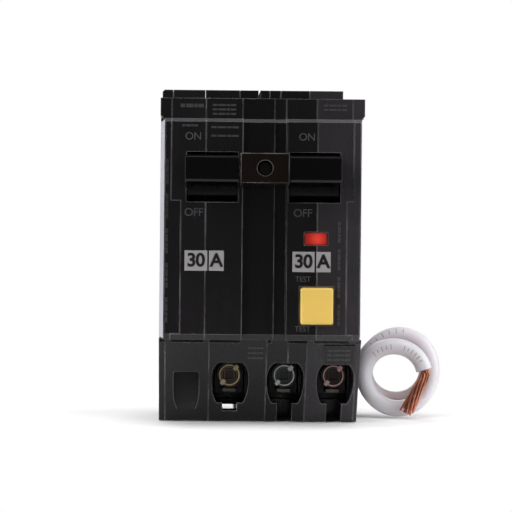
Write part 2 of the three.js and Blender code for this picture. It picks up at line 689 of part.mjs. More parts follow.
function leads() {
  const paths = {
    load_lead_a: [[-9.2, 18, -14.6], [-6, 18.6, -13.2], [-3.2, 20, -14.4], [-2.3, 20.4, -18],
      [-2.3, 20.4, -22.6], [-3.4, 20, -25.2], [-6.6, 20, -25.5]],
    load_lead_b: [[9.2, 18, -14.6], [6, 18.6, -13.2], [3.2, 20, -14.4], [2.3, 20.4, -18],
      [2.3, 20.4, -22.6], [3.6, 20, -25.2], [8, 20, -25.5], [15.2, 20, -25.5]],
    neutral_lead: [[5.2, 16.4, -25.4], [2, 16.6, -25.2], [0.2, 16.8, -23], [0.2, 16.8, -17.5],
      [1.6, 14.4, -14.8], [5, 11.4, -14.6], [7.8, 10.6, -16.4], [8.5, 10.6, -20], [8.5, 10.6, -28.4]],
  };
  return Object.entries(paths).map(([name, points]) => part(name, wireThrough(points, 1, 22), "lead"));
}

// ---------------------------------------------------------------- test button and indicator

function testButton() {
  const { x, z, half_width, half_height, depth } = BUTTON;
  const cap = block([x - half_width, x + half_width], [57, depth], [z - half_height, z + half_height]);
  const rim = block([x - half_width - 0.7, x + half_width + 0.7], [56.4, 58.2],
    [z - half_height - 0.4, z + half_height + 0.6]);
  return part("test_button", join(cap, rim, deepBar(1.5, [50, 57], { x, z }, 12)), "button");
}

function testLeaf() {
  const leaf = part("test_leaf_spring", block([-3, 3], [-0.4, 0.4], [0, 11]), "brass");
  leaf.position.set(BUTTON.x, -LEAF_FOOT.depth, LEAF_FOOT.z);
  return leaf;
}

function indicatorLens() {
  const { x, z, half_width, half_height } = LENS;
  const glass = block([x - half_width, x + half_width], [56.6, 59.6], [z - half_height, z + half_height]);
  const rim = block([x - half_width - 0.6, x + half_width + 0.6], [56.6, 58.2],
    [z - half_height - 0.6, z + half_height + 0.6]);
  return part("indicator_lens", join(glass, rim), "lens");
}

// ---------------------------------------------------------------- pigtail

// Where the wire is after so many turns of its coil, clockwise as seen from the front.
function coilPoint(turn) {
  const next = Math.max(1, OVALS.findIndex(({ at }) => at > turn));
  const upper = turn >= OVALS.at(-1).at ? OVALS.length - 1 : next;
  const [low, high] = [OVALS[upper - 1], OVALS[upper]];
  const share = THREE.MathUtils.smoothstep(turn, low.at, high.at);
  const mix = (key) => THREE.MathUtils.lerp(low[key], high[key], share);
  const angle = radians(COIL.first_angle) - 2 * Math.PI * turn;
  const x = mix("x") + mix("across") * Math.cos(angle);
  const z = mix("z") + mix("up") * Math.sin(angle);
  return [x, COIL.rear + COIL.pitch * turn, z];
}

// The neutral wire leaves the right cover, bends up and coils.
function pigtailPoints() {
  const inside = [
    [9, 9.3, -31.6], [13, 8.8, -33.6],
    [19, WIRE_EXIT.depth, -34], [25.6, WIRE_EXIT.depth, -34.2]];
  const count = 37;
  return [...inside, ...Array.from({ length: count }, (_, i) => coilPoint(COIL.turns * i / (count - 1)))];
}

function pigtail() {
  const points = pigtailPoints();
  const [tip, before] = [points.at(-1), points.at(-2)];
  const length = Math.hypot(...tip.map((value, i) => value - before[i]));
  const onward = (distance) => tip.map((value, i) => value + (value - before[i]) / length * distance);
  const bare = [onward(0.3), onward(1.6), [43, 19.9, -34.6], [41.2, 20.1, -38.2], [39.5, 20.2, -41.6]];
  return [
    part("pigtail_wire", wireThrough(points, WIRE_RADIUS, 120, 12), "insulation"),
    part("pigtail_copper", wireThrough(bare, 1.35, 12, 8), "copper"),
  ];
}

// ---------------------------------------------------------------- the breaker

const breaker = new THREE.Group();
breaker.add(
  ...caseShells(),
  sideLabel("side_label_left", -1),
  sideLabel("side_label_right", 1),
  ...RIVETS.map(rivet),
  handles(),
  handleShaft(),
  poleMechanism("left", -1),
  poleMechanism("right", 1),
  terminal("load_a", TERMINALS.load_a, "brass"),
  terminal("neutral", TERMINALS.neutral, "steel"),
  terminal("load_b", TERMINALS.load_b, "copper"),
  faultModule(),
  ...leads(),
  testButton(),
  testLeaf(),
  indicatorLens(),
  ...pigtail());

export default breaker;
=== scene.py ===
import math
import bmesh
import bpy
from mathutils import Matrix, Vector


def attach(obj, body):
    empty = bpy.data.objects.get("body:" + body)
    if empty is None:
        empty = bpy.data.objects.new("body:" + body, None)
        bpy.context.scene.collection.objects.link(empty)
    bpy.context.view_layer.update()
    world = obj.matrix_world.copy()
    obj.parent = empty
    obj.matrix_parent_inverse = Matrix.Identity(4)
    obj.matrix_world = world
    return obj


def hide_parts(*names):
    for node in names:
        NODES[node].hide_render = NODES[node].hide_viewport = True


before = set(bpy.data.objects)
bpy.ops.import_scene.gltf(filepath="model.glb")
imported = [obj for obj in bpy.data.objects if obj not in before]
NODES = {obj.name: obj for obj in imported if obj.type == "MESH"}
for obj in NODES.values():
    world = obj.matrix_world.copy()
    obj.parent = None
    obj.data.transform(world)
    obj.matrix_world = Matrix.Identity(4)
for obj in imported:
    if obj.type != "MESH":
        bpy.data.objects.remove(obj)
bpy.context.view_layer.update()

# Lengths below are in millimetres until they reach Blender, which works in metres.
# x runs right, z up to the line end, and depth is the distance in front of the rear face (y = -depth).

MM = 0.001

# The same places that the CAD source uses.
NOSE = 60
SHOULDER = 55
LOAD_SLOPE_TOP = (49.3, -21.4)  # depth, z
LOAD_SLOPE_END = (34.8, -42.9)
BUTTON = {"x": 13.45, "z": -12.7, "half_width": 4, "half_height": 4.5, "depth": 62.4}
LENS = {"x": 13.2, "z": 3.8, "half_width": 2.8, "half_height": 1.5, "depth": 59.6}
SCREWS = {"load_a": -7.3, "neutral": 6.75, "load_b": 19.4}
SCREW_Z = -31.15
SCREW_FACE = 34.9
COIL = {"first": 190, "turns": 2.49, "rear": 7.8, "pitch": 4.45}
# The coil's oval changes along it: after how many turns, x, z, half width and half height.
OVALS = [(0.8, 37.6, -30.5, 8.5, 8), (1.5, 38.05, -30.7, 8.8, 10.1), (2.3, 36.6, -32.1, 8, 8)]
WIRE_RADIUS = 2.15
SIDE = 25.4  # from the middle to a side face: two one-inch poles make the width

FONT_SIZE_PER_CAPITAL = 1.38
LETTER_SPACING = 0.95

# The camera stands left of the object, level and rolled a little; its shift brings the object to the middle.
CAMERA = {"x": -17.6, "depth": 607, "z": -0.7, "roll": 0.55, "lens": 156.6, "shift": 0.128}
FLOOR_Z = -43.1
FLOOR_REACH = 3.0  # metres
PAPER_FADE = (0.05, 0.18)  # metres from the middle where the paper starts and ends turning white
# How strongly the white floor and the surroundings light the object and show in its reflections.
FLOOR_GLOW = 0.18
WORLD_GLOW = 0.09


def point(x, depth, z):
    """A place in Blender's metres, from millimetres."""
    return Vector((x * MM, -depth * MM, z * MM))


# ---------------------------------------------------------------- materials


def colour_of(value):
    """The colour, fully opaque."""
    return (*value, 1)


def finish(name, base, rough, metal=0.0, mottle=0.18, grain=0.1, **inputs):
    """A surface whose colour, roughness and relief all vary: clouds, fine grain and faint scuffs."""
    material = bpy.data.materials.new(name)
    material.use_nodes = True
    nodes, links = material.node_tree.nodes, material.node_tree.links
    shader = nodes["Principled BSDF"]
    where = nodes.new("ShaderNodeTexCoord")

    def noise(scale, detail, stretch=(1, 1, 1)):
        """Noise fixed to the piece, finer at a higher scale."""
        mapping = nodes.new("ShaderNodeMapping")
        mapping.inputs["Scale"].default_value = stretch
        texture = nodes.new("ShaderNodeTexNoise")
        texture.inputs["Scale"].default_value = scale
        texture.inputs["Detail"].default_value = detail
        links.new(where.outputs["Object"], mapping.inputs["Vector"])
        links.new(mapping.outputs["Vector"], texture.inputs["Vector"])
        return texture.outputs["Fac"]

    clouds = noise(90, 4)
    scuffs = noise(260, 3, (1, 1, 0.15))
    mix = nodes.new("ShaderNodeMix")
    mix.data_type = "RGBA"
    mix.inputs["A"].default_value = colour_of([c * (1 - mottle) for c in base])
    mix.inputs["B"].default_value = colour_of([min(1, c * (1 + mottle)) for c in base])
    links.new(clouds, mix.inputs["Factor"])
    links.new(mix.outputs["Result"], shader.inputs["Base Color"])

    spread = nodes.new("ShaderNodeMapRange")
    spread.inputs["From Min"].default_value = 0.3
    spread.inputs["From Max"].default_value = 0.7
    spread.inputs["To Min"].default_value = max(0.03, rough - 0.07)
    spread.inputs["To Max"].default_value = rough + 0.07
    links.new(scuffs, spread.inputs["Value"])
    links.new(spread.outputs["Result"], shader.inputs["Roughness"])

    bump = nodes.new("ShaderNodeBump")
    bump.inputs["Strength"].default_value = grain
    bump.inputs["Distance"].default_value = 0.05 * MM
    links.new(noise(1400, 2), bump.inputs["Height"])
    links.new(bump.outputs["Normal"], shader.inputs["Normal"])

    shader.inputs["Metallic"].default_value = metal
    for key, value in inputs.items():
        shader.inputs[key.replace("_", " ")].default_value = value
    return material


def worn_and_highlit_edges(material, width, colour):
    """Edges painted paler than faces, partly rubbed wear and partly a painted highlight of light catching
    them: found where a rounded normal leaves the true one.
    """
    nodes, links = material.node_tree.nodes, material.node_tree.links
    shader = nodes["Principled BSDF"]
    rounded = nodes.new("ShaderNodeBevel")
    rounded.samples = 4
    rounded.inputs["Radius"].default_value = width * MM
    true = nodes.new("ShaderNodeNewGeometry")
    dot = nodes.new("ShaderNodeVectorMath")
    dot.operation = "DOT_PRODUCT"
    rub_and_sheen = nodes.new("ShaderNodeMapRange")
    rub_and_sheen.inputs["From Min"].default_value = 0.985
    rub_and_sheen.inputs["From Max"].default_value = 0.8
    where = nodes.new("ShaderNodeTexCoord")
    patches = nodes.new("ShaderNodeTexNoise")
    patches.inputs["Scale"].default_value = 140
    uneven = nodes.new("ShaderNodeMapRange")
    uneven.inputs["From Min"].default_value = 0.35
    uneven.inputs["From Max"].default_value = 0.65
    uneven.inputs["To Min"].default_value = 0.3
    both = nodes.new("ShaderNodeMath")
    both.operation = "MULTIPLY"
    mix = nodes.new("ShaderNodeMix")
    mix.data_type = "RGBA"
    mix.inputs["B"].default_value = colour_of(colour)
    links.new(where.outputs["Object"], patches.inputs["Vector"])
    links.new(patches.outputs["Fac"], uneven.inputs["Value"])
    links.new(rounded.outputs["Normal"], dot.inputs[0])
    links.new(true.outputs["Normal"], dot.inputs[1])
    links.new(dot.outputs["Value"], rub_and_sheen.inputs["Value"])
    links.new(rub_and_sheen.outputs["Result"], both.inputs[0])
    links.new(uneven.outputs["Result"], both.inputs[1])
    links.new(both.outputs["Value"], mix.inputs["Factor"])
    links.new(shader.inputs["Base Color"].links[0].from_socket, mix.inputs["A"])
    links.new(mix.outputs["Result"], shader.inputs["Base Color"])
    return material


def phenolic(name, tone):
    """The case's black moulding; tone lightens or darkens a piece against its neighbours, and on the shells
    this paints light and shade.
    """
    base = [0.0055 * tone, 0.0049 * tone, 0.0055 * tone]
    material = finish(name, base, 0.27, mottle=0.3, grain=0.16, Specular_IOR_Level=0.34)
    return worn_and_highlit_edges(material, 0.3, (0.26, 0.25, 0.26))


HANDLE = worn_and_highlit_edges(
    finish("handle_black", (0.0018, 0.0015, 0.0018), 0.2, grain=0.05, Specular_IOR_Level=0.25),
    0.3, (0.07, 0.07, 0.07))
TIE = worn_and_highlit_edges(
    finish("tie_brown_black", (0.005, 0.0028, 0.002), 0.22, grain=0.12, Specular_IOR_Level=0.25),
    0.4, (0.3, 0.29, 0.27))
PIN = worn_and_highlit_edges(
    finish("pin_black", (0.002, 0.0018, 0.002), 0.25, grain=0.05, Specular_IOR_Level=0.3),
    0.4, (0.08, 0.07, 0.06))
# Painted shade: the white side labels are greyed to a pale lavender, as they lie in shade on the side faces.
SHADED_LABEL_FILM = finish("label_film_painted_shade", (0.47, 0.455, 0.51), 0.5, mottle=0.05, grain=0.05)
INK = finish("moulded_mark", (0.055, 0.053, 0.056), 0.6, mottle=0.4)
DIM = finish("dim_mark", (0.017, 0.0165, 0.018), 0.6, mottle=0.5)
PRINT = finish("label_print", (0.2, 0.19, 0.22), 0.6)
WIRE_INK = finish("wire_print", (0.3, 0.28, 0.3), 0.6, mottle=0.4)
YELLOW = finish("button_yellow", (0.71, 0.455, 0.105), 0.42, mottle=0.07, grain=0.12, Subsurface_Weight=0.1)
PLATE = finish("rating_plate", (0.27, 0.26, 0.265), 0.5, mottle=0.1)
PLATE_INK = finish("rating_ink", (0.004, 0.004, 0.004), 0.6)
ZINC = finish("zinc_plated", (0.6, 0.6, 0.58), 0.26, metal=1, mottle=0.15, grain=0.2)
DULL_STEEL = finish("dull_steel", (0.35, 0.34, 0.33), 0.42, metal=1, mottle=0.2, grain=0.3)
COPPER = finish("copper", (0.78, 0.36, 0.22), 0.28, metal=1, mottle=0.2, grain=0.15)
STRAND = finish("copper_strand", (0.6, 0.25, 0.16), 0.33, metal=1, mottle=0.2, grain=0.15)
BRASS = finish("brass", (0.6, 0.44, 0.2), 0.3, metal=1, mottle=0.15)
WHITE_PVC = finish("white_insulation", (0.66, 0.62, 0.66), 0.38, mottle=0.06, Subsurface_Weight=0.15)
BLACK_PVC = finish("black_insulation", (0.02, 0.02, 0.024), 0.4)
BOARD = finish("board_green", (0.014, 0.1, 0.037), 0.4)
FIBRE = finish("arc_fibre", (0.27, 0.19, 0.1), 0.8, mottle=0.3)
FERRITE = finish("sensor_coating", (0.03, 0.045, 0.07), 0.5)
# Painted shade: darkened copies of the screws' metals, for the dished heads and shanks that lie in shade.
SHADED_ZINC = worn_and_highlit_edges(
    finish("zinc_painted_shade", (0.03, 0.033, 0.036), 0.4, metal=0.4, mottle=0.3, grain=0.3), 0.2, (0.2, 0.2, 0.2))
SHADED_PASSIVATED = worn_and_highlit_edges(
    finish("passivated_painted_shade", (0.03, 0.016, 0.01), 0.4, metal=0.4, mottle=0.4), 0.25, (0.4, 0.25, 0.2))
SHADED_BRASS = worn_and_highlit_edges(
    finish("brass_painted_shade", (0.015, 0.007, 0.007), 0.4, metal=0.4, mottle=0.4), 0.25, (0.25, 0.16, 0.15))
# Painted highlight: lightened copies of the same metals, for the raised rim round each screw head and the
# pads at its slot ends.
HIGHLIT_ZINC = finish("zinc_painted_highlight", (0.72, 0.74, 0.72), 0.4, metal=0.3, mottle=0.4, grain=0.3)
HIGHLIT_PASSIVATED = finish("passivated_painted_highlight", (0.62, 0.52, 0.28), 0.4, metal=0.3, mottle=0.4, grain=0.3)
HIGHLIT_BRASS = finish("brass_painted_highlight", (0.7, 0.45, 0.4), 0.4, metal=0.3, mottle=0.4, grain=0.3)
# Painted highlight: a paler steel for the lit lip of each lug.
LIT_LIP_STEEL = finish("lug_lip_painted_highlight", (0.2, 0.185, 0.15), 0.4, metal=0.3, mottle=0.4, grain=0.3)
# Painted shade: the lugs' steel darkened to near black, as they sit in shade inside the load windows.
SHADED_LUG_STEEL = finish("lug_steel_painted_shade", (0.03, 0.03, 0.032), 0.35, metal=1, mottle=0.3, grain=0.3)
FAINT = finish("faint_mark", (0.032, 0.031, 0.034), 0.6, mottle=0.5)


def lens_with_painted_glow():
    """Red lens with a painted glow: its emission, strongest a little right of the middle, stands in for
    light seen through the red plastic.
    """
    material = finish("red_lens", (0.3, 0.01, 0.008), 0.15, mottle=0.2, grain=0.05,
                      Emission_Color=(1, 0.09, 0.06, 1))
    nodes, links = material.node_tree.nodes, material.node_tree.links
    where = nodes.new("ShaderNodeTexCoord")
    distance = nodes.new("ShaderNodeVectorMath")
    distance.operation = "DISTANCE"
    distance.inputs[1].default_value = point(LENS["x"] + 0.4, LENS["depth"], LENS["z"])
    fade = nodes.new("ShaderNodeMapRange")
    fade.interpolation_type = "SMOOTHSTEP"
    fade.inputs["From Max"].default_value = 2.8 * MM
    fade.inputs["To Min"].default_value = 0.42
    fade.inputs["To Max"].default_value = 0.06
    links.new(where.outputs["Object"], distance.inputs[0])
    links.new(distance.outputs["Value"], fade.inputs["Value"])
    links.new(fade.outputs["Result"], nodes["Principled BSDF"].inputs["Emission Strength"])
    return material


# ---------------------------------------------------------------- builders


def wear(obj, material):
    """Gives a piece this material and no other."""
    obj.data.materials.clear()
    obj.data.materials.append(material)
    return obj


def polish(node, material, edge=0.22):
    """A CAD piece with its own surface and rounded edges that catch the light."""
    obj = wear(NODES[node], material)
    weld = obj.modifiers.new("weld", "WELD")
    weld.merge_threshold = 0.004 * MM
    flat = obj.modifiers.new("flat", "DECIMATE")
    flat.decimate_type = "DISSOLVE"
    flat.angle_limit = math.radians(1)
    if edge:
        bevel = obj.modifiers.new("edge", "BEVEL")
        bevel.width = edge * MM
        bevel.segments = 2
        bevel.limit_method = "ANGLE"
        bevel.angle_limit = math.radians(35)
        bevel.use_clamp_overlap = True
    obj.data.shade_smooth()
    obj.modifiers.new("shading", "WEIGHTED_NORMAL")
    return obj


def settle(obj, body, material, slot, *nodes):
    """Puts a finished piece on its CAD body, in its material."""
    wear(obj, material)
    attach(obj, body)
    if nodes:
        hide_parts(*nodes)
    return obj


def mesh_object(name, vertices, faces, smooth=True):
    """A closed mesh whose faces all point outwards."""
    mesh = bpy.data.meshes.new(name)
    mesh.from_pydata([tuple(v) for v in vertices], [], faces)
    shell = bmesh.new()
    shell.from_mesh(mesh)
    bmesh.ops.recalc_face_normals(shell, faces=shell.faces)
    shell.to_mesh(mesh)
    shell.free()
    if smooth:
        mesh.shade_smooth()
    obj = bpy.data.objects.new(name, mesh)
    bpy.context.scene.collection.objects.link(obj)
    return obj


def box(name, xs, depths, zs, edge=0.0, segments=3):
    """A block from ranges of x, depth and z, with rounded edges."""
    corners = [point(x, d, z) for x in xs for d in depths for z in zs]
    faces = [(0, 1, 3, 2), (4, 6, 7, 5), (0, 4, 5, 1), (2, 3, 7, 6), (0, 2, 6, 4), (1, 5, 7, 3)]
    obj = mesh_object(name, corners, faces, smooth=False)
    if edge:
        bevel = obj.modifiers.new("edge", "BEVEL")
        bevel.width = edge * MM
        bevel.segments = segments
        bevel.limit_method = "NONE"
        bevel.harden_normals = True
    return obj


def tube(name, points, radius, sides=6):
    """A round wire through points in metres."""
    curve = bpy.data.curves.new(name, "CURVE")
    curve.dimensions = "3D"
    curve.bevel_depth = radius * MM
    curve.bevel_resolution = sides
    curve.use_fill_caps = True
    line = curve.splines.new("POLY")
    line.points.add(len(points) - 1)
    for spot, p in zip(line.points, points):
        spot.co = (*p, 1)
    line.use_smooth = True
    obj = bpy.data.objects.new(name, curve)
    bpy.context.scene.collection.objects.link(obj)
    return obj


def lettering(name, words, x, z, height, depth, material, bold=0.0):
    """Generic marks such as ON, raised a little from a face at this depth. x and z are their middle."""
    curve = bpy.data.curves.new(name, "FONT")
    curve.body = words
    curve.size = height * FONT_SIZE_PER_CAPITAL * MM
    curve.space_character = LETTER_SPACING
    curve.extrude = 0.05 * MM
    curve.offset = bold * MM
    curve.align_x = "CENTER"
    curve.align_y = "CENTER"
    obj = bpy.data.objects.new(name, curve)
    bpy.context.scene.collection.objects.link(obj)
    obj.location = point(x, depth, z)
    obj.rotation_euler = (math.radians(90), 0, 0)
    return settle(obj, "case", material, "case")


# ---------------------------------------------------------------- case

# How light each shell's black is beside the plain one: painted light and shade, with the right-hand shells
# much lighter as if lit from the right.
SHELL_PAINTED_LIGHT = {
    "left_cover": 1.05,
    "left_pole_case": 1.25,
    "left_inner_case": 1.05,
    "centre_case": 0.6,
    "centre_plate": 0.7,
    "right_inner_case": 0.9,
    "right_pole_case": 3.8,
    "right_cover": 4.6,
}
for shell, tone in SHELL_PAINTED_LIGHT.items():
    polish(shell, phenolic("case_" + shell, tone), 0.25)

for side in ("left", "right"):
    polish("side_label_" + side, SHADED_LABEL_FILM, 0)
    polish("handle_" + side, HANDLE, 0.35)
    polish("line_jaw_" + side, COPPER, 0.15)
    polish("arc_chute_" + side, FIBRE, 0.1)
    polish("bimetal_" + side, BRASS, 0.1)
    polish("magnet_yoke_" + side, DULL_STEEL, 0.1)
    polish("braid_" + side, COPPER, 0.1)
    polish("contact_arm_" + side, COPPER, 0.15)
    polish("toggle_spring_" + side, ZINC, 0)
    polish("cradle_" + side, DULL_STEEL, 0.1)
    polish("armature_" + side, DULL_STEEL, 0.1)
for rivet in ("line_rear", "line_front", "load_rear", "load_front"):
    polish("rivet_" + rivet, DULL_STEEL, 0.15)
for name in SCREWS:
    polish("lug_" + name, SHADED_LUG_STEEL, 0.2)
    polish("clamp_plate_" + name, ZINC, 0.2)
polish("handle_tie", TIE, 0.4)
polish("tie_pin", PIN, 0.3)
polish("handle_shaft", DULL_STEEL, 0.1)
polish("trip_bar", BLACK_PVC, 0.15)
polish("circuit_board", BOARD, 0.1)
polish("trip_solenoid", COPPER, 0.2)
polish("solenoid_plunger", DULL_STEEL, 0.15)
polish("sensor_toroid", FERRITE, 0.4)
polish("test_leaf_spring", BRASS, 0.1)
for lead in ("load_lead_a", "load_lead_b", "neutral_lead"):
    polish(lead, BLACK_PVC, 0)

# Generic marks on the front: name, words, x, z and the height of a capital.
MARKS = [
    ("mark_on_left", "ON", -17.15, 28.7, 1.9),
    ("mark_on_right", "ON", 10.8, 28.7, 1.9),
    ("mark_off_left", "OFF", -16.9, 10, 2),
    ("mark_off_right", "OFF", 9.9, 10, 2),
    ("mark_test_upper", "TEST", 10.1, -6.2, 1.35),
    ("mark_test_lower", "TEST", 10.1, -18.4, 1.35),
]
for name, words, x, z, height in MARKS:
    lettering(name, words, x, z, height, NOSE + 0.03, INK)


def on_front(x, z):
    """Where a low mark sits on the nose."""
    return Matrix.Translation(point(x, NOSE, z))


def on_shoulder(x, z):
    """The same on the shoulder."""
    return Matrix.Translation(point(x, SHOULDER, z))


def on_slope(x, z, lift=0.0):
    """The same on the load block's sloping front."""
    (d0, z0), (d1, z1) = LOAD_SLOPE_TOP, LOAD_SLOPE_END
    lean = math.atan2(d0 - d1, z0 - z1)
    depth = d0 + (z - z0) * math.tan(lean)
    place = Matrix.Translation(point(x, depth, z)) @ Matrix.Rotation(lean, 4, "X")
    return place @ Matrix.Translation((0, -lift * MM, 0))


def plain_bars(name, place, x, z, rows, length, height=0.5, pitch=1.1, upright=False, material=FAINT):
    """Rows of plain bars where the real part has small print; no letters.

    A row is cut into words by these shares of its length, and a bar fills most of its word's room.
    """
    shares = (0.22, 0.35, 0.17, 0.26)
    shortest = 0.6
    filled = 0.86
    count = 0
    for row in range(rows):
        start = 0.0
        while start < length - shortest:
            word = min(length * shares[count % 4], length - start)
            middle = start + word / 2 - length / 2
            dx, dz = (row * pitch, -middle) if upright else (middle, -row * pitch)
            half = word * filled / 2
            across, up = (height / 2, half) if upright else (half, height / 2)
            bar = box(f"{name}_{count}", (-across, across), (-0.02, 0.08), (-up, up))
            bar.matrix_world = place(x + dx, z + dz)
            settle(bar, "case", material, "case")
            start += word
            count += 1


plain_bars("print_shoulder_left", on_shoulder, -17.5, 36.6, 1, 6, 0.9)
plain_bars("print_shoulder_middle", on_shoulder, -9.5, 36.8, 3, 6)
plain_bars("print_shoulder_right", on_shoulder, 18, 36.9, 2, 6)
plain_bars("print_nose_left", on_front, -18, 31.4, 1, 4)
plain_bars("print_nose_middle", on_front, -9.4, 31, 2, 7, pitch=2.1)
for row in range(4):
    plain_bars(f"print_nose_edge_{row}", on_front, 18.9, 5.5 - 6.8 * row, 1, 5.4, 0.7, upright=True)
for row in range(5):
    left_z, right_z = 20 - 8.5 * row, 16 - 6.4 * row
    plain_bars(f"print_cover_left_{row}", on_front, -23.5, left_z, 1, 6.4, 0.7, upright=True, material=DIM)
    plain_bars(f"print_cover_right_{row}", on_front, 22.6, right_z, 1, 5.2, 0.7, upright=True, material=DIM)
plain_bars("print_load_middle", on_slope, -1, -23.6, 3, 4, 0.6, 1.3)

panel = box("load_panel", (-3.9, 3.9), (-0.05, 0.35), (-3, 3), 0.15)
panel.matrix_world = on_slope(20, -25.2)
settle(panel, "case", phenolic("case_panel", 1.7), "case")
plain_bars("print_load_panel", lambda x, z: on_slope(x, z, 0.3), 20, -23.9, 3, 6, 0.6, 1.2)


def label_bars(side, x_sign):
    """Plain printed bars on a side label, with no letters."""
    face = (SIDE - 0.03) * x_sign
    for row in range(12):
        top = 29 - row * 3.6
        ends = ((43, 31 + row % 3 * 2), (28, 18 + row * 5 % 4))  # depths of each column's bar
        for column, (front, rear) in enumerate(ends):
            xs = sorted((face, face + 0.02 * x_sign))
            bar = box(f"label_bar_{side}_{row}_{column}", xs, (rear, front), (top - 1.1, top))
            settle(bar, "case", PRINT, "label")


label_bars("left", -1)
label_bars("right", 1)


def rating_plate(name, x0, x1, z):
    """A pale plate in two cells: the rating and its unit."""
    half = 2.5
    split = x0 + (x1 - x0) * 0.6
    for cell, low, high, words in (("value", x0, split - 0.2, "30"), ("unit", split + 0.2, x1, "A")):
        plate = box(name + "_" + cell, (low, high), (NOSE - 0.01, NOSE + 0.1), (z - half, z + half), 0.08)
        settle(plate, "case", PLATE, "label")
        ink = name + "_" + cell + "_ink"
        lettering(ink, words, (low + high) / 2, z, 3.3, NOSE + 0.12, PLATE_INK, bold=0.13)


rating_plate("rating_left", -19.05, -9.4, -1.8)
rating_plate("rating_right", 7.45, 16.85, -1.9)

# ---------------------------------------------------------------- button and indicator


def pillow(name, spec, depths, edge):
    """A block with rounded edges over a window of the front."""
    x, z, w, h = spec["x"], spec["z"], spec["half_width"], spec["half_height"]
    return box(name, (x - w, x + w), depths, (z - h, z + h), edge, 5)


cap = pillow("button_cap", BUTTON, (57, BUTTON["depth"]), 0.55)
settle(cap, "button", YELLOW, "button", "test_button")
rim = {**BUTTON, "half_width": BUTTON["half_width"] + 0.7, "half_height": BUTTON["half_height"] + 0.5}
settle(pillow("button_rim", rim, (56.4, 58.2), 0.3), "button", YELLOW, "button")
stem = tube("button_stem", [point(BUTTON["x"], 50, BUTTON["z"]), point(BUTTON["x"], 57, BUTTON["z"])], 1.5)
settle(stem, "button", YELLOW, "button")

lens = pillow("lens_window", LENS, (56.6, LENS["depth"]), 0.3)
settle(lens, "case", lens_with_painted_glow(), "lens", "indicator_lens")

# ---------------------------------------------------------------- terminal screws


def turned(name, profile, x, z, sides=48):
    """A solid of revolution about the depth axis; the profile is (radius, depth) from rear to front."""
    rows = []
    for radius, depth in profile:
        angles = [2 * math.pi * i / sides for i in range(sides)]
        rows.append([point(x + radius * math.cos(a), depth, z + radius * math.sin(a)) for a in angles])
    vertices = [v for row in rows for v in row]
    faces = []
    for r in range(len(rows) - 1):
        for i in range(sides):
            j = (i + 1) % sides
            faces.append((r * sides + i, r * sides + j, (r + 1) * sides + j, (r + 1) * sides + i))
    faces.append(tuple(reversed(range(sides))))
    faces.append(tuple(range((len(rows) - 1) * sides, len(rows) * sides)))
    obj = mesh_object(name, vertices, faces)
    obj.data.set_sharp_from_angle(angle=math.radians(35))
    return obj


def carve(obj, cutters):
    """Cuts the cutters out of obj for good, then drops them."""
    for cutter in cutters:
        step = obj.modifiers.new("cut", "BOOLEAN")
        step.operation = "DIFFERENCE"
        step.solver = "EXACT"
        step.object = cutter
    bpy.context.view_layer.update()
    graph = bpy.context.evaluated_depsgraph_get()
    mesh = bpy.data.meshes.new_from_object(obj.evaluated_get(graph))
    obj.modifiers.clear()
    obj.data = mesh
    mesh.set_sharp_from_angle(angle=math.radians(35))
    for cutter in cutters:
        bpy.data.objects.remove(cutter)
    return obj


def terminal_screw(name, x, highlit, shaded, slot):
    """Dished head in painted shade with a raised rim in painted highlight, a slot and a square driver
    recess, on a threaded shank in painted shade; pads of painted highlight sit at the slot's ends.
    """
    face = SCREW_FACE
    body = "screw_" + name
    centre = Matrix.Translation(point(x, face, SCREW_Z))
    slot_turn = centre @ Matrix.Rotation(-math.radians(48), 4, "Y")
    dish = [(0.5, face - 2.5), (3.1, face - 2.5), (3.3, face - 2.3), (3.3, face - 0.9), (3.1, face - 0.7),
            (2, face - 0.7), (1.95, face - 1), (0.5, face - 1)]
    head = turned("screw_head_" + name, dish, x, SCREW_Z)
    square = box("square", (-1.2, 1.2), (-2, 1), (-1.2, 1.2))
    square.matrix_world = centre @ Matrix.Rotation(-math.radians(3), 4, "Y")
    carve(head, [square])
    settle(head, body, shaded, slot, "terminal_screw_" + name)

    raised = [(2.75, face - 2.45), (2.72, face - 0.12), (2.62, face), (2.44, face), (2.34, face - 0.12),
              (2.3, face - 2.3), (0.4, face - 2.3)]
    rim = turned("screw_rim_" + name, raised, x, SCREW_Z)
    slot_cut = box("slot", (-4.2, 4.2), (-0.9, 1), (-0.5, 0.5))
    slot_cut.matrix_world = slot_turn
    carve(rim, [slot_cut])
    settle(rim, body, highlit, slot)
    # Pads of painted highlight where light catches the slot's ends.
    for end, side in enumerate((-1, 1)):
        slot_glint = box(f"screw_slot_glint_{name}_{end}", (-0.75, 0.75), (-0.85, -0.2), (-0.5, 0.5), 0.12)
        slot_glint.matrix_world = slot_turn @ Matrix.Translation((side * 2.5 * MM, 0, 0))
        settle(slot_glint, body, highlit, slot)

    pitch = 0.8
    thread = []
    depth = 24.1
    while depth < face - 2.7:
        thread += [(1.55, depth), (1.88, depth + pitch * 0.35), (1.88, depth + pitch * 0.5)]
        depth += pitch
    shank = turned("screw_shank_" + name, [(1.5, 24), *thread, (1.5, face - 2.4)], x, SCREW_Z, 32)
    settle(shank, body, shaded, slot)


terminal_screw("load_a", SCREWS["load_a"], HIGHLIT_PASSIVATED, SHADED_PASSIVATED, "brass")
terminal_screw("neutral", SCREWS["neutral"], HIGHLIT_ZINC, SHADED_ZINC, "steel")
terminal_screw("load_b", SCREWS["load_b"], HIGHLIT_BRASS, SHADED_BRASS, "copper")

# A paler lip on each lug, below its screw: a painted highlight where light catches the lug's lip.
for name, x in SCREWS.items():
    lip = box("lug_lip_" + name, (x - 1.7, x + 1.7), (30.3, 30.58), (SCREW_Z - 4.55, SCREW_Z - 3.65), 0.08)
    settle(lip, "case", LIT_LIP_STEEL, "steel")

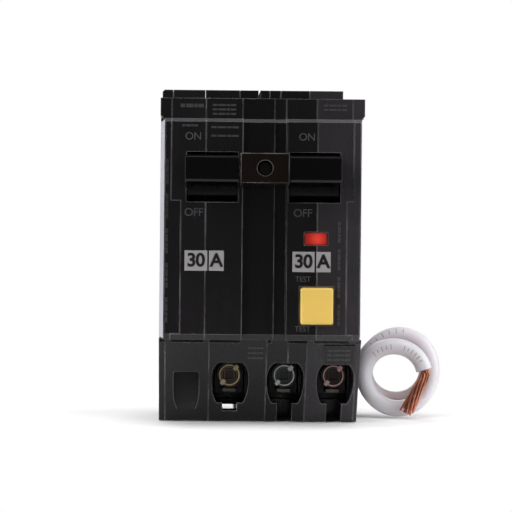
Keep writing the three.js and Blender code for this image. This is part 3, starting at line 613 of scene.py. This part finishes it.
# ---------------------------------------------------------------- pigtail


def coil_point(turn):
    """Where the wire is after so many turns, clockwise as seen from the front."""
    low, high = OVALS[:2] if turn < OVALS[1][0] else OVALS[1:]
    share = min(1, max(0, (turn - low[0]) / (high[0] - low[0])))
    share *= share * (3 - 2 * share)
    x, z, across, up = (a + (b - a) * share for a, b in zip(low[1:], high[1:]))
    angle = math.radians(COIL["first"]) - 2 * math.pi * turn
    depth = COIL["rear"] + COIL["pitch"] * turn
    return point(x + across * math.cos(angle), depth, z + up * math.sin(angle))


def smooth_path(points, steps):
    """A Catmull-Rom curve through the points."""
    ends = [points[0] * 2 - points[1], *points, points[-1] * 2 - points[-2]]
    path = []
    for p0, p1, p2, p3 in zip(ends, ends[1:], ends[2:], ends[3:]):
        for i in range(steps):
            t = i / steps
            path.append(0.5 * (2 * p1 + (p2 - p0) * t + (2 * p0 - 5 * p1 + 4 * p2 - p3) * t**2
                               + (3 * p1 - p0 - 3 * p2 + p3) * t**3))
    return [*path, points[-1]]


# From inside the case, out through the right cover and round the coil.
inside = [point(9, 9.3, -31.6), point(13, 8.8, -33.6), point(19, 8.5, -34), point(25.6, 8.5, -34.4)]
coil = [coil_point(COIL["turns"] * i / 72) for i in range(73)]
wire = tube("pigtail_insulation", smooth_path([*inside, *coil], 3), WIRE_RADIUS, 8)
settle(wire, "case", WHITE_PVC, "insulation", "pigtail_wire")


def wire_mark(name, turn, lean, half_length):
    """A printed stroke across the wire, leaning outwards from its front."""
    centre = coil_point(turn)
    ahead = (coil_point(turn + 0.003) - centre).normalized()
    front = Vector((0, -1, 0))
    front = (front - ahead * front.dot(ahead)).normalized()
    side = ahead.cross(front)
    stroke = []
    for step in range(-2, 3):
        angle = lean + step / 2 * half_length / WIRE_RADIUS
        outward = front * math.cos(angle) + side * math.sin(angle)
        stroke.append(centre + outward * (WIRE_RADIUS - 0.06) * MM)
    settle(tube(name, stroke, 0.13, 1), "case", WIRE_INK, "insulation")


# Print on the wire: first and last turn of each run, how many strokes, and how far round they lean.
WIRE_MARKS = ((2.16, 2.26, 5, 0), (2.33, 2.44, 6, 0), (1.15, 1.3, 6, -0.5))
for group, (first, last, count, lean) in enumerate(WIRE_MARKS):
    for i in range(count):
        half_length = (0.7, 0.45, 0.7, 0.6)[i % 4]
        wire_mark(f"wire_mark_{group}_{i}", first + (last - first) * i / (count - 1), lean, half_length)


def strand_bundle(path, count, radius, spread, lay):
    """Fine strands twisted round a path: one in the middle, six round it and the rest outside."""
    total = len(path) - 1
    for k in range(count):
        ring = 0 if k == 0 else (1 if k < 7 else 2)
        phase = 2 * math.pi * k / (6 if ring == 1 else 10)
        line = []
        for i, centre in enumerate(path):
            ahead = (path[min(i + 1, total)] - path[max(i - 1, 0)]).normalized()
            across = ahead.cross(Vector((0, 1, 0))).normalized()
            up = across.cross(ahead)
            angle = phase + lay * i / total
            fan = 1 + 0.8 * (i / total) ** 2
            offset = (across * math.cos(angle) + up * math.sin(angle)) * ring * spread * MM * fan
            line.append(centre + offset)
        strand = tube(f"pigtail_strand_{k}", line[:total + 1 - (k * 5) % 3], radius, 2)
        stands_for = ["pigtail_copper"] if k == 0 else []
        settle(strand, "case", STRAND, "copper", *stands_for)


tip = coil_point(COIL["turns"])
onward = (tip - coil_point(COIL["turns"] - 0.01)).normalized()
bare = smooth_path([tip - onward * 1 * MM, tip + onward * 1.2 * MM, point(43, 19.9, -34.6),
                    point(41.2, 20.1, -38.2), point(39.5, 20.2, -41.6)], 8)
strand_bundle(bare, count=17, radius=0.24, spread=0.5, lay=2.2)

# ---------------------------------------------------------------- stage, light and camera

floor_mesh = bpy.data.meshes.new("floor")
reach = FLOOR_REACH
floor_mesh.from_pydata([(-reach, -reach, 0), (reach, -reach, 0), (reach, reach, 0), (-reach, reach, 0)],
                       [], [(0, 1, 2, 3)])
floor = bpy.data.objects.new("floor", floor_mesh)
floor.location.z = FLOOR_Z * MM
bpy.context.scene.collection.objects.link(floor)


def for_camera(nodes, links, otherwise):
    """1 for what the camera sees directly, and less for light and reflections."""
    ray = nodes.new("ShaderNodeLightPath")
    strength = nodes.new("ShaderNodeMapRange")
    strength.inputs["To Min"].default_value = otherwise
    strength.inputs["To Max"].default_value = 1.0
    links.new(ray.outputs["Is Camera Ray"], strength.inputs["Value"])
    return strength.outputs["Result"]


def paper():
    """Pale paper that takes soft shadows near the object and turns plain white further out."""
    material = bpy.data.materials.new("floor_paper")
    material.use_nodes = True
    nodes, links = material.node_tree.nodes, material.node_tree.links
    nodes.clear()
    where = nodes.new("ShaderNodeTexCoord")
    distance = nodes.new("ShaderNodeVectorMath")
    distance.operation = "LENGTH"
    fade = nodes.new("ShaderNodeMapRange")
    fade.interpolation_type = "SMOOTHSTEP"
    fade.inputs["From Min"].default_value = PAPER_FADE[0]
    fade.inputs["From Max"].default_value = PAPER_FADE[1]
    diffuse = nodes.new("ShaderNodeBsdfDiffuse")
    diffuse.inputs["Color"].default_value = (0.9, 0.9, 0.9, 1)
    glow = nodes.new("ShaderNodeEmission")
    links.new(for_camera(nodes, links, FLOOR_GLOW), glow.inputs["Strength"])
    mix = nodes.new("ShaderNodeMixShader")
    output = nodes.new("ShaderNodeOutputMaterial")
    links.new(where.outputs["Object"], distance.inputs[0])
    links.new(distance.outputs["Value"], fade.inputs["Value"])
    links.new(fade.outputs["Result"], mix.inputs["Fac"])
    links.new(diffuse.outputs["BSDF"], mix.inputs[1])
    links.new(glow.outputs["Emission"], mix.inputs[2])
    links.new(mix.outputs["Shader"], output.inputs["Surface"])
    return material


wear(floor, paper())


def softbox(name, place, size, watts, glossy=True):
    """A rectangular lamp aimed at the object; without glossy it leaves no reflection of itself."""
    lamp = bpy.data.lights.new(name, "AREA")
    lamp.shape = "RECTANGLE"
    lamp.size, lamp.size_y = size
    lamp.energy = watts
    obj = bpy.data.objects.new(name, lamp)
    bpy.context.scene.collection.objects.link(obj)
    obj.location = place
    obj.visible_glossy = glossy
    aim = Vector((0, -0.03, 0)) - Vector(place)
    obj.rotation_euler = aim.to_track_quat("-Z", "Y").to_euler()
    return obj


softbox("top_box", (0, -0.25, 0.7), (0.7, 0.5), 3.8)
softbox("left_box", (-0.6, -0.12, 0.1), (0.3, 0.7), 3)
softbox("right_box", (0.6, -0.1, 0.12), (0.3, 0.7), 3.6)
softbox("left_front_box", (-0.45, -0.55, 0.15), (0.25, 0.5), 3.4, glossy=False)
softbox("right_front_box", (0.5, -0.5, 0.1), (0.25, 0.5), 1.8, glossy=False)
softbox("back_box", (0, 0.6, 0.35), (0.6, 0.4), 2.5)

world = bpy.data.worlds.new("studio")
bpy.context.scene.world = world
world.use_nodes = True
tree = world.node_tree
background = tree.nodes["Background"]
background.inputs["Color"].default_value = (1, 1, 1, 1)
tree.links.new(for_camera(tree.nodes, tree.links, WORLD_GLOW), background.inputs["Strength"])

lens_data = bpy.data.cameras.new("camera")
lens_data.lens = CAMERA["lens"]
lens_data.sensor_width = 36
lens_data.shift_x = CAMERA["shift"]
lens_data.clip_start = 0.02
camera = bpy.data.objects.new("camera", lens_data)
bpy.context.scene.collection.objects.link(camera)
camera.matrix_world = (
    Matrix.Translation(point(CAMERA["x"], CAMERA["depth"], CAMERA["z"]))
    @ Matrix.Rotation(math.radians(90), 4, "X")
    @ Matrix.Rotation(math.radians(CAMERA["roll"]), 4, "Z"))
bpy.context.scene.camera = camera
bpy.context.scene.view_settings.view_transform = "Standard"
